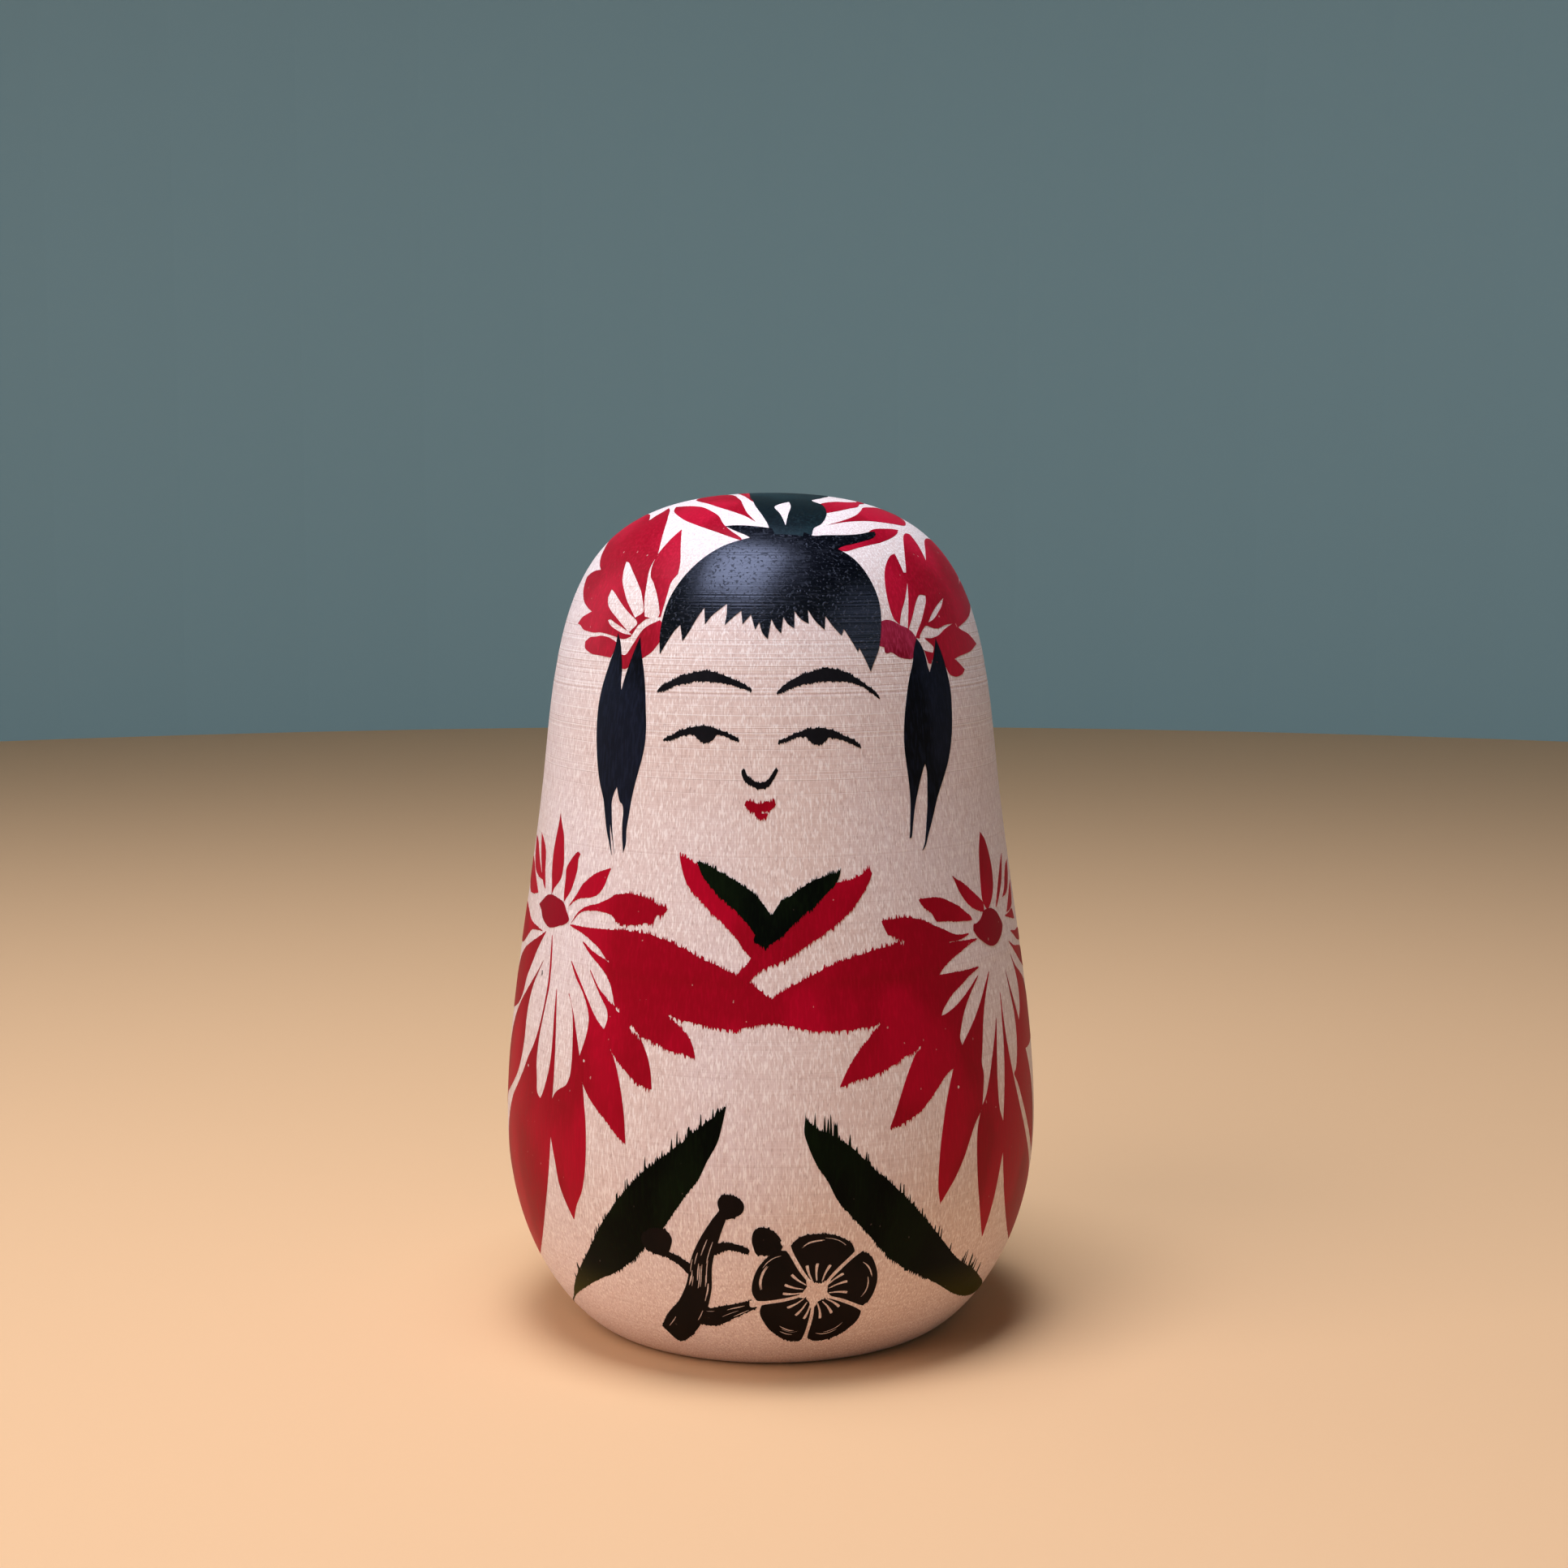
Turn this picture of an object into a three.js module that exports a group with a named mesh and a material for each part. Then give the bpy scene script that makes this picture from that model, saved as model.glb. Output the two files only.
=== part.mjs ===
// A bullet-shaped kokeshi doll, turned from one block of dogwood on a lathe.
// The block is bored from the foot for a ballast disc, and a turned plug closes the bore.
// Units are millimetres. +Z is up, -Y is the doll's face side, and the origin is the
// centre of the foot, on the surface that the doll stands on.
import * as THREE from "three";

// Outside of the turned body.
const HEIGHT = 100; // foot to the top of the head
const FOOT_RADIUS = 21.2; // flat ring that the doll stands on
const BELLY_RADIUS = 32.2; // widest circle
const BELLY_HEIGHT = 24.7; // height of the widest circle
const SHOULDER_RADIUS = 27; // where the taper runs into the head's dome
const CROWN_HEIGHT = 29.8; // that place down from the top of the head
const SHOULDER_LEAN = 0.098; // inward run for each millimetre of rise there

// How far each end of a curve keeps to its own direction.
const HEEL_FOOT_PULL = 1.6;
const HEEL_BELLY_PULL = 17;
const SIDE_BELLY_PULL = 13.3;
const SIDE_SHOULDER_PULL = 16.5;
const CROWN_SHOULDER_PULL = 21.1;
const CROWN_TOP_PULL = 20.8;

// The bore in the foot and what fills it.
const BORE_RADIUS = 12.5;
const BALLAST_THICKNESS = 11;
const PLUG_THICKNESS = 9;
const PLUG_RECESS = 0.5; // the plug's face stays above the standing surface
const CLEARANCE = 0.3; // all round the ballast and the plug
const MOUTH_CHAMFER = 0.8; // on the bore's mouth
const PLUG_CHAMFER = 0.5; // on the plug's outer face
const BALLAST_CHAMFER = 0.6; // on both faces of the ballast
const CENTRE_MARK_RADIUS = 1.3; // left in the plug's face by the lathe's centre
const CENTRE_MARK_DEPTH = 1.1;

// Facets.
const SEGMENTS = 96; // round the axis
const HEEL_STEPS = 14;
const SIDE_STEPS = 10;
const CROWN_STEPS = 16;

const at = (radius, height) => new THREE.Vector2(radius, height);

// A solid of revolution about +Z. The profile runs round the section counterclockwise,
// radius to the right and height upwards, and starts and ends on the axis.
function turned(name, profile, material) {
  const geometry = new THREE.LatheGeometry(profile, SEGMENTS);
  geometry.rotateX(Math.PI / 2);
  const mesh = new THREE.Mesh(geometry, material);
  mesh.name = name;
  return mesh;
}

// Foot edge, round heel, belly, tapering side and domed head, from the foot upwards.
function outsidePoints() {
  const foot = at(FOOT_RADIUS, 0);
  const belly = at(BELLY_RADIUS, BELLY_HEIGHT);
  const shoulder = at(SHOULDER_RADIUS, HEIGHT - CROWN_HEIGHT);
  const top = at(0, HEIGHT);
  const upTheTaper = at(-SHOULDER_LEAN, 1).normalize();
  const from = (point, direction, pull) => point.clone().addScaledVector(direction, pull);
  const out = at(1, 0);
  const up = at(0, 1);
  const heel = new THREE.CubicBezierCurve(
    foot,
    from(foot, out, HEEL_FOOT_PULL),
    from(belly, up, -HEEL_BELLY_PULL),
    belly,
  );
  const side = new THREE.CubicBezierCurve(
    belly,
    from(belly, up, SIDE_BELLY_PULL),
    from(shoulder, upTheTaper, -SIDE_SHOULDER_PULL),
    shoulder,
  );
  const crown = new THREE.CubicBezierCurve(
    shoulder,
    from(shoulder, upTheTaper, CROWN_SHOULDER_PULL),
    from(top, out, CROWN_TOP_PULL),
    top,
  );
  return [
    ...heel.getPoints(HEEL_STEPS),
    ...side.getPoints(SIDE_STEPS).slice(1),
    ...crown.getPoints(CROWN_STEPS).slice(1),
  ];
}

// The ballast lies against the bore's end, and the plug comes up to it.
const plugFace = PLUG_RECESS;
const plugEnd = plugFace + PLUG_THICKNESS;
const ballastFace = plugEnd + CLEARANCE;
const ballastEnd = ballastFace + BALLAST_THICKNESS;
const boreEnd = ballastEnd + CLEARANCE;
const looseRadius = BORE_RADIUS - CLEARANCE;

const dogwood = () =>
  new THREE.MeshStandardMaterial({ color: 0xe3cbb8, roughness: 0.5, metalness: 0 });
const castIron = () =>
  new THREE.MeshStandardMaterial({ color: 0x3c3b3a, roughness: 0.7, metalness: 0.9 });

function turnedBody() {
  const bore = [
    at(0, boreEnd),
    at(BORE_RADIUS, boreEnd),
    at(BORE_RADIUS, MOUTH_CHAMFER),
    at(BORE_RADIUS + MOUTH_CHAMFER, 0),
  ];
  return turned("turned_body", [...bore, ...outsidePoints()], dogwood());
}

function ballastDisc() {
  return turned(
    "ballast_disc",
    [
      at(0, ballastFace),
      at(looseRadius - BALLAST_CHAMFER, ballastFace),
      at(looseRadius, ballastFace + BALLAST_CHAMFER),
      at(looseRadius, ballastEnd - BALLAST_CHAMFER),
      at(looseRadius - BALLAST_CHAMFER, ballastEnd),
      at(0, ballastEnd),
    ],
    castIron(),
  );
}

function footPlug() {
  return turned(
    "foot_plug",
    [
      at(0, plugFace + CENTRE_MARK_DEPTH),
      at(CENTRE_MARK_RADIUS, plugFace),
      at(looseRadius - PLUG_CHAMFER, plugFace),
      at(looseRadius, plugFace + PLUG_CHAMFER),
      at(looseRadius, plugEnd),
      at(0, plugEnd),
    ],
    dogwood(),
  );
}

const doll = new THREE.Group();
doll.add(turnedBody(), ballastDisc(), footPlug());

export default doll;
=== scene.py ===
"""A bullet-shaped kokeshi doll: the turned dogwood body, what closes its foot, and all that is
painted on it. Painted outlines are in millimetres on two flat charts of the doll's skin. Round
the side, x runs round the doll from the middle of the face, as it measures where the radius is
30 mm, and y is the height above the foot. Over the crown, x and y are measured from the top of
the head along the skin, with the face towards -y."""

import math
import random

import bpy
import numpy as np
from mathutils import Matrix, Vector, noise
from mathutils.geometry import delaunay_2d_cdt


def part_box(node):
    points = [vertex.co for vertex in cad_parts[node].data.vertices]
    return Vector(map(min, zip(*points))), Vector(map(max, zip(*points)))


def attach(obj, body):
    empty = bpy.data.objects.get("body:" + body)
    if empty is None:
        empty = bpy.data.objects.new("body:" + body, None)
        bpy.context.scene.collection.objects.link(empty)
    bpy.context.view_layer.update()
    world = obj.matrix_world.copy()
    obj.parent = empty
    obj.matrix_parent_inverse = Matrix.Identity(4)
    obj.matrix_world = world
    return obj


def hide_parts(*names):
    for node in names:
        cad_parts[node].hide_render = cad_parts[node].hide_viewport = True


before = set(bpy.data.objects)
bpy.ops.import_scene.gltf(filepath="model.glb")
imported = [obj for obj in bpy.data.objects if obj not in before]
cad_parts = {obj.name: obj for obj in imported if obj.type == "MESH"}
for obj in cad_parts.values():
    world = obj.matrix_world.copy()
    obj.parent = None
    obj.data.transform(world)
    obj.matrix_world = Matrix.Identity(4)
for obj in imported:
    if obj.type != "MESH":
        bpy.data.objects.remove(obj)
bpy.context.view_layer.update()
MM = 0.001

# ---- the camera
CAMERA_DISTANCE = 293.5 * MM
CAMERA_ASIDE = 1.6 * MM
CAMERA_HEIGHT = 98.4 * MM
LOOKING_DOWN = math.radians(6.5)
LENS_PER_WIDTH = 1.553

camera = bpy.data.objects.new("camera", bpy.data.cameras.new("camera"))
camera.location = (CAMERA_ASIDE, -CAMERA_DISTANCE, CAMERA_HEIGHT)
camera.rotation_euler = (math.pi / 2 - LOOKING_DOWN, 0, 0)
camera.data.sensor_width = 36
camera.data.lens = camera.data.sensor_width * LENS_PER_WIDTH
camera.data.clip_start = 10 * MM
bpy.context.scene.collection.objects.link(camera)
bpy.context.scene.camera = camera
bpy.context.scene.view_settings.view_transform = "Standard"


# ---- curves
def smooth(points, step):
    """A curve through points, with a point about every step along it and both ends kept."""
    points = [np.array(p, float) for p in points]
    ends = [2 * points[0] - points[1], *points, 2 * points[-1] - points[-2]]
    line = []
    for before, start, end, after in zip(ends, ends[1:], ends[2:], ends[3:]):
        t1, t2, t3 = np.cumsum([max(1e-6, np.linalg.norm(b - a)) ** 0.5 for a, b in
                                ((before, start), (start, end), (end, after))])
        count = max(1, round(np.linalg.norm(end - start) / step))
        for t in np.linspace(t1, t2, count, endpoint=False):
            a = (before * (t1 - t) + start * t) / t1
            b = (start * (t2 - t) + end * (t - t1)) / (t2 - t1)
            c = (end * (t3 - t) + after * (t - t2)) / (t3 - t2)
            d = (a * (t2 - t) + b * t) / t2
            e = (b * (t3 - t) + c * (t - t1)) / (t3 - t1)
            line.append((d * (t2 - t) + e * (t - t1)) / (t2 - t1))
    return line + [points[-1]]


def outline(sides, step):
    """A closed outline. Each side starts at a corner and runs on to where the next one starts."""
    line = []
    for side, following in zip(sides, sides[1:] + sides[:1]):
        line += smooth([*side, following[0]], step)[:-1]
    return line


def brush(points, widths):
    """The sides of a brush stroke along points, as wide as widths says at each of them."""
    points = [np.array(p, float) for p in points]
    left, right = [], []
    for i, (point, width) in enumerate(zip(points, widths)):
        along = points[min(i + 1, len(points) - 1)] - points[max(i - 1, 0)]
        across = np.array((-along[1], along[0])) / np.linalg.norm(along)
        left.append(point + across * width / 2)
        right.append(point - across * width / 2)
    return [left, right[::-1]]


# ---- the doll's skin
def rings_of(node):
    """Each ring of a turned CAD node, as (radius, height) in millimetres, from the foot up."""
    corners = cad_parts[node].data.vertices
    rings = {(round(math.hypot(v.co.x, v.co.y) / MM, 3), round(v.co.z / MM, 3)) for v in corners}
    return sorted(rings, key=lambda ring: (ring[1], ring[0]))


body_rings = rings_of("turned_body")
PAST_THE_PLUG = 2
PAST_THE_BALLAST = 1
bore_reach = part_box("foot_plug")[1].x / MM + PAST_THE_PLUG
bore_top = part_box("ballast_disc")[1].z / MM + PAST_THE_BALLAST
bore_rings = [(r, z) for r, z in body_rings if r < bore_reach and z < bore_top]
outside_rings = [ring for ring in body_rings if ring not in bore_rings]
past_the_top = (-outside_rings[-2][0], outside_rings[-2][1])
PROFILE_STEP = 0.04
skin_line = np.array(smooth([*outside_rings, past_the_top], PROFILE_STEP))
skin_line = skin_line[: np.argmax(skin_line[:, 0] <= 0) + 1]
skin_line[-1] = outside_rings[-1]
skin_run = np.concatenate([[0], np.cumsum(np.hypot(*np.diff(skin_line, axis=0).T))])
skin_way = np.gradient(skin_line, skin_run, axis=0)
skin_way /= np.linalg.norm(skin_way, axis=1)[:, None]
SIDE_CHART_RADIUS = 30


def round_side(points):
    """(turn about the axis, way up the skin) of points of the side chart."""
    return points[:, 0] / SIDE_CHART_RADIUS, np.interp(points[:, 1], skin_line[:, 1], skin_run)


def over_crown(points):
    """(turn about the axis, way up the skin) of points of the crown chart."""
    return np.arctan2(points[:, 0], -points[:, 1]), skin_run[-1] - np.hypot(*points.T)


def off_skin(turn, run, lift):
    """Places at a lift off the skin, in metres, and the skin's normals there."""
    radius, height, out, up = (np.interp(run, skin_run, values) for values in
                               (*skin_line.T, skin_way[:, 1], -skin_way[:, 0]))
    spin = np.stack([np.sin(turn), -np.cos(turn)], 1)
    places = np.column_stack([spin * (radius + lift * out)[:, None], height + lift * up]) * MM
    return places, np.column_stack([spin * out[:, None], up])


def new_piece(name, places, faces, finish, shading=None):
    """A mesh object that rides on the doll. shading gives a normal for each corner of each face."""
    mesh = bpy.data.meshes.new(name)
    mesh.from_pydata([tuple(p) for p in places], [], faces)
    mesh.shade_smooth()
    if shading is not None:
        mesh.normals_split_custom_set(shading)
    mesh.materials.append(finish)
    piece = bpy.data.objects.new(name, mesh)
    bpy.context.scene.collection.objects.link(piece)
    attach(piece, "root")
    return piece


def lathe(name, line, segments, finish):
    """A closed turned piece. Its line of (radius, height) in millimetres runs from axis to axis."""
    turns = np.arange(segments) * math.tau / segments
    places = [(0, 0, line[0][1])]
    for radius, height in line[1:-1]:
        places += [(radius * math.sin(t), -radius * math.cos(t), height) for t in turns]
    places.append((0, 0, line[-1][1]))
    last = len(places) - 1
    faces = []
    for i in range(segments):
        j = (i + 1) % segments
        faces.append((0, 1 + j, 1 + i))
        for low in range(1, last - segments, segments):
            faces.append((low + i, low + j, low + segments + j, low + segments + i))
        faces.append((last - segments + i, last - segments + j, last))
    return new_piece(name, np.array(places) * MM, faces, finish)


# ---- painting
TOOTH_STEP = 0.1
PLAIN_STEP = 0.3
SKIN_STEP = 1.25
ROW_STEP = SKIN_STEP * 0.87
SOAK = -0.02
FIRST_COAT = 0.025
NEXT_COAT = 0.015
# How far round the petals begin to crowd and are crowded, and what share of a tooth is left there.
CROWDED = (15, 21)
TOOTH_IN_THE_CROWD = 0.15
# A hair grows here and there, where the edge faces up by so much and is so far above the foot.
HAIR_CHANCE = 0.13
HAIR_FACING = 0.4
HAIR_LOWEST = 9
# An edge that lies across the fibres less than this has no teeth, and a span on it has all of them.
EDGE_FACING = 0.42
EDGE_FACING_SPAN = 0.4


def turning_of(line):
    """Above 0 where a closed outline runs anticlockwise."""
    x, y = line.T
    return np.sum(x * np.roll(y, -1) - np.roll(x, -1) * y)


def bled(line, teeth, hairs, swell, seed):
    """An anticlockwise outline, swollen a little, whose upper and lower edges have run out along
    the fibres: in short sharp teeth all along, shorter where the petals crowd together round the
    side, and in long hairs where it faces up."""
    chance = random.Random(seed)
    way = np.roll(line, -2, 0) - np.roll(line, 2, 0)
    way /= np.maximum(np.linalg.norm(way, axis=1), 1e-9)[:, None]
    facing_up = -way[:, 0]
    reach = []
    last_hair = 0
    for (x, y), up in zip(line, facing_up):
        wetter = 0.5 * noise.noise(Vector((x * 0.9, y * 0.4, seed)))
        tooth = 0.2 + wetter + 2.1 * chance.random() ** 3
        tooth *= np.interp(abs(x), CROWDED, (1, TOOTH_IN_THE_CROWD))
        grows = chance.random() < HAIR_CHANCE and up > HAIR_FACING and y > HAIR_LOWEST
        hair = chance.uniform(0.25, 1) ** 2 * hairs if grows else 0
        reach.append(max(0, tooth) * teeth + max(hair, last_hair * 0.85))
        last_hair = hair
    across_fibres = np.clip((np.abs(facing_up) - EDGE_FACING) / EDGE_FACING_SPAN, 0, 1)
    share = np.sign(facing_up) * across_fibres
    return line + np.column_stack([way[:, 1] * swell, facing_up * swell + share * reach])


def paint(name, shapes, finish, chart=round_side, coats=1, gaps=(), teeth=0.0, hairs=0.0,
          swell=0.0):
    """A painted film on the skin: the shapes laid over each other, less the gaps."""
    lines = []
    for seed, sides in enumerate([*shapes, *gaps]):
        line = np.array(outline(sides, TOOTH_STEP if teeth else PLAIN_STEP))
        if turning_of(line) < 0:
            line = line[::-1]
        if teeth and seed < len(shapes):
            line = bled(line, teeth, hairs, swell, seed)
        lines.append(line)
    corners = np.concatenate(lines)
    ends = np.cumsum([len(line) for line in lines])
    loops = [list(range(end - len(line), end)) for line, end in zip(lines, ends)]
    low, high = corners.min(0), corners.max(0)
    rows = np.arange(low[1], high[1], ROW_STEP)
    inside = [(x + SKIN_STEP / 2 * (k % 2), y) for k, y in enumerate(rows)
              for x in np.arange(low[0], high[0], SKIN_STEP)]
    flat, _, faces, _, _, owners = delaunay_2d_cdt(
        [Vector(p) for p in [*corners, *inside]], [], loops, 1, 1e-5, True)
    faces = [face for face, own in zip(faces, owners) if own and max(own) < len(shapes)]
    used = sorted({corner for face in faces for corner in face})
    number = {corner: k for k, corner in enumerate(used)}
    faces = [[number[corner] for corner in face] for face in faces]
    turn, run = chart(np.array([flat[corner][:] for corner in used]))
    over, normals = off_skin(turn, run, FIRST_COAT + NEXT_COAT * (coats - 1))
    under = off_skin(turn, run, SOAK)[0]
    a, b, c = (over[corner] for corner in faces[0])
    if np.dot(np.cross(b - a, c - a), normals[faces[0][0]]) < 0:
        faces = [face[::-1] for face in faces]
    edges = {(a, b) for face in faces for a, b in zip(face, face[1:] + face[:1])}
    rim = sorted((a, b) for a, b in edges if (b, a) not in edges)
    n = len(used)
    backs = [[corner + n for corner in face[::-1]] for face in faces]
    walls = [[b, a, a + n, b + n] for a, b in rim]
    places = np.concatenate([over, under])
    shading = [normals[corner] for face in faces for corner in face]
    shading += [-normals[corner - n] for face in backs for corner in face]
    for a, b, c, d in walls:
        out = np.cross(places[b] - places[a], places[c] - places[b])
        shading += [out / max(np.linalg.norm(out), 1e-12)] * 4
    return new_piece(name, places, faces + backs + walls, finish, shading)


# ---- finishes
class Reading:
    """A number that varies over a surface, so that shader maths reads as an expression."""

    def __init__(self, finish, socket):
        self.finish = finish
        self.socket = socket

    def maths(self, operation, first, second):
        return self.finish.node("Math", {"operation": operation}, {0: first, 1: second})

    def __add__(self, other):
        return self.maths("ADD", self, other)

    def __sub__(self, other):
        return self.maths("SUBTRACT", self, other)

    def __rsub__(self, other):
        return self.maths("SUBTRACT", other, self)

    def __mul__(self, other):
        return self.maths("MULTIPLY", self, other)

    __radd__ = __add__
    __rmul__ = __mul__

    def clear_of(self, low, high):
        """0 up to low, rising smoothly to 1 at high."""
        return self.finish.node("MapRange", {"interpolation_type": "SMOOTHSTEP"},
                                {"Value": self, "From Min": low, "From Max": high})


class Finish:
    """A material and its node tree. place is where a point is, in millimetres."""

    def __init__(self, name):
        self.material = bpy.data.materials.new(name)
        self.material.use_nodes = True
        self.tree = self.material.node_tree
        self.shader = self.tree.nodes["Principled BSDF"]
        metres = self.node("TexCoord", out="Object")
        self.place = self.node("VectorMath", {"operation": "SCALE"}, {0: metres, "Scale": 1 / MM})
        self.x, self.y, self.z = (
            self.node("SeparateXYZ", {}, {0: self.place}, out) for out in "XYZ")

    def node(self, kind, settings=(), sockets=(), out=0):
        """One output of a new node. Its settings are set first, then its sockets fed or set."""
        made = self.tree.nodes.new("ShaderNode" + kind)
        for name, value in dict(settings).items():
            setattr(made, name, value)
        for name, value in dict(sockets).items():
            self.feed(made.inputs[name], value)
        return Reading(self, made.outputs[out])

    def feed(self, socket, value):
        if isinstance(value, Reading):
            self.tree.links.new(value.socket, socket)
        else:
            socket.default_value = value

    def grain(self, across, along, detail=2.0, shift=0.0):
        """Noise with so many features to a millimetre across the upright fibres and along them."""
        stretched = self.node("VectorMath", {"operation": "MULTIPLY_ADD"},
                              {0: self.place, 1: (across, across, along), 2: (shift, shift, shift)})
        return self.node("TexNoise", {}, {"Vector": stretched, "Scale": 1.0, "Detail": detail})

    def from_axis(self):
        """How far a point is from the doll's axis, in millimetres."""
        level = self.node("CombineXYZ", {}, {"X": self.x, "Y": self.y})
        return self.node("VectorMath", {"operation": "LENGTH"}, {0: level}, "Value")

    def rings(self, way):
        """Noise that varies only along way, as what a lathe tool leaves does."""
        return self.node("TexNoise", {"noise_dimensions": "1D"},
                         {"W": way, "Scale": 1.0, "Detail": 2.0})

    def lines(self, each_mm):
        """Tool marks from foot to crown."""
        return self.rings((self.z - self.from_axis()) * each_mm)

    def blend(self, share, first, second):
        """first where share is 0, second where it is 1. Both are colours."""
        return self.node("Mix", {"data_type": "RGBA"}, {0: share, 6: first, 7: second}, 2)

    def bump(self, height, depth_mm):
        return self.node("Bump", {}, {"Height": height, "Distance": depth_mm * MM, "Strength": 1.0})

    def done(self, **sockets):
        """Feeds the shader's sockets and returns the material."""
        for name, value in sockets.items():
            self.feed(self.shader.inputs[name.replace("_", " ")], value)
        return self.material


def tone(red, green, blue):
    """A colour from its everyday 0 to 255 values."""
    light = [((c / 255 + 0.055) / 1.055) ** 2.4 if c > 10 else c / 3294 for c in (red, green, blue)]
    return (*light, 1)


def dogwood():
    """Pale close-grained wood: a weave of short pale flecks along the fibres, crossed by the fine
    lines of turning, which are strongest round the face."""
    wood = Finish("waxed_dogwood")
    slow = wood.grain(0.05, 0.025, 1.0).clear_of(0.32, 0.68)
    fibres = wood.grain(4.2, 0.3, 2.0, 7.0).clear_of(0.4, 0.7)
    flecks = wood.grain(6.0, 0.95, 1.0, 21.0).clear_of(0.48, 0.68)
    pores = wood.grain(6.4, 1.3, 1.0, 43.0).clear_of(0.58, 0.76)
    turning = wood.lines(5.0)
    round_face = wood.z.clear_of(64, 72) * (1 - wood.z.clear_of(84, 92)) * 0.65 + 0.35
    pale_lines = turning.clear_of(0.56, 0.7) * round_face
    dark_lines = wood.lines(3.1).clear_of(0.6, 0.74) * round_face
    colour = wood.blend(slow, tone(230, 206, 206), tone(228, 200, 193))
    colour = wood.blend(fibres * 0.42, colour, tone(202, 168, 160))
    colour = wood.blend(flecks * 0.78, colour, tone(255, 239, 236))
    colour = wood.blend(pores * 0.5, colour, tone(178, 138, 132))
    colour = wood.blend(pale_lines * 0.55, colour, tone(252, 238, 236))
    colour = wood.blend(dark_lines * 0.45, colour, tone(186, 148, 142))
    height = flecks * 0.5 - fibres * 0.4 - pores * 0.6 + pale_lines * 0.8 - dark_lines
    return wood.done(
        Base_Color=colour,
        Roughness=0.44 + fibres * 0.08 + pores * 0.12 - pale_lines * 0.08,
        Normal=wood.bump(height, 0.012),
        Coat_Weight=0.09,
        Coat_Roughness=0.3,
    )


def dye(name, deep, worn, streaks=0.5, roughness=0.42, specks=0.4, shine=0.2, washed=None):
    """Brushed colour soaked into the wood: pooled in soft patches, streaked along the fibres, with
    a few pinholes left bare. washed is its colour where it thins out near the foot."""
    ink = Finish(name)
    fibres = ink.grain(4.0, 0.5, 2.0, 5.0)
    pools = ink.grain(0.12, 0.07, 1.0, 31.0).clear_of(0.42, 0.6)
    pinholes = ink.grain(2.4, 1.6, 0.0, 57.0).clear_of(0.855, 0.885)
    turning = ink.lines(5.0)
    share = fibres.clear_of(0.42, 0.74) * streaks + pools * 0.55
    colour = ink.blend(share, deep, worn)
    if washed:
        colour = ink.blend((1 - ink.z.clear_of(5, 13)) * 0.8, colour, washed)
    colour = ink.blend(pinholes * specks, colour, tone(226, 190, 180))
    return ink.done(
        Base_Color=colour,
        Roughness=roughness + fibres * 0.14,
        Specular_IOR_Level=shine,
        Normal=ink.bump(fibres * 0.8 + turning * 0.5, 0.01),
    )


LAST_LOCK_END = (11.4, -21.5, 84.6)


def hair_black():
    """Thick satin black over the turning lines, with fine dust and rubbed marks, and thinned to
    slate where the last lock of the fringe ends."""
    ink = Finish("hair_black")
    fibres = ink.grain(3.0, 0.5, 3.0, 3.0)
    dust = ink.grain(3.4, 3.0, 2.0, 71.0).clear_of(0.58, 0.7)
    turning = ink.lines(4.0)
    rubbed = ink.grain(0.7, 4.2, 3.0, 13.0).clear_of(0.5, 0.74)
    from_last_lock = ink.node("VectorMath", {"operation": "DISTANCE"},
                              {0: ink.place, 1: LAST_LOCK_END}, "Value")
    thinned = (1 - from_last_lock.clear_of(2.5, 7)) * (turning.clear_of(0.36, 0.62) * 0.5 + 0.1)
    colour = ink.blend(rubbed * 0.12 + dust * 0.4, tone(3, 4, 10), tone(56, 58, 70))
    colour = ink.blend(thinned, colour, tone(58, 62, 78))
    return ink.done(
        Base_Color=colour,
        Roughness=0.22 + fibres * 0.06 + dust * 0.35 + rubbed * 0.12,
        Normal=ink.bump(fibres * 0.6 + turning * 1.3 + dust * 2, 0.015),
        Coat_Weight=0.12,
        Coat_Roughness=0.18,
    )


def bare_plug():
    """Unwaxed end of the plug, with close tool rings."""
    wood = Finish("bare_plug_wood")
    rings = wood.rings(wood.from_axis() * 3)
    pores = wood.grain(3.0, 3.0, 2.0, 9.0).clear_of(0.5, 0.75)
    colour = wood.blend(rings.clear_of(0.35, 0.7) * 0.5, tone(214, 183, 152), tone(188, 150, 118))
    colour = wood.blend(pores * 0.5, colour, tone(150, 112, 84))
    return wood.done(Base_Color=colour, Roughness=0.7 + pores * 0.1,
                     Normal=wood.bump(rings + pores * 0.4, 0.04))


def rough_iron():
    """Cast ballast: dark skin, pits and a little rust."""
    iron = Finish("cast_ballast_iron")
    pits = iron.grain(1.6, 1.6, 3.0, 2.0)
    rust = iron.grain(0.35, 0.35, 3.0, 17.0).clear_of(0.5, 0.7)
    colour = iron.blend(rust * 0.7, tone(66, 64, 62), tone(104, 62, 40))
    return iron.done(Base_Color=colour, Metallic=0.85 - rust * 0.7, Roughness=0.55 + pits * 0.3,
                     Normal=iron.bump(pits, 0.25))


WOOD = dogwood()
RED = dye("crimson_dye", tone(148, 0, 24), tone(184, 0, 38), 0.35, shine=0.1)
# The hair's red is a paler, pinker copy of the crimson dye: partly rubbed streaks, partly a painted
# sheen for the hazy light on the crown.
HEAD_RED = dye("rubbed_crimson_dye_painted_sheen", tone(146, 0, 26), tone(184, 14, 46), 0.6, shine=0.22)
DEEP_RED = dye("second_coat_crimson_dye", tone(126, 0, 22), tone(150, 0, 30), 0.3, shine=0.1)
PALE_RED = dye("thin_crimson_dye", tone(122, 0, 28), tone(166, 42, 72), 0.8)
GREEN = dye("green_black_dye", tone(1, 4, 1), tone(10, 21, 5), 0.5, 0.5, 0.1, 0.06, tone(66, 62, 8))
BLACK = hair_black()
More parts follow.
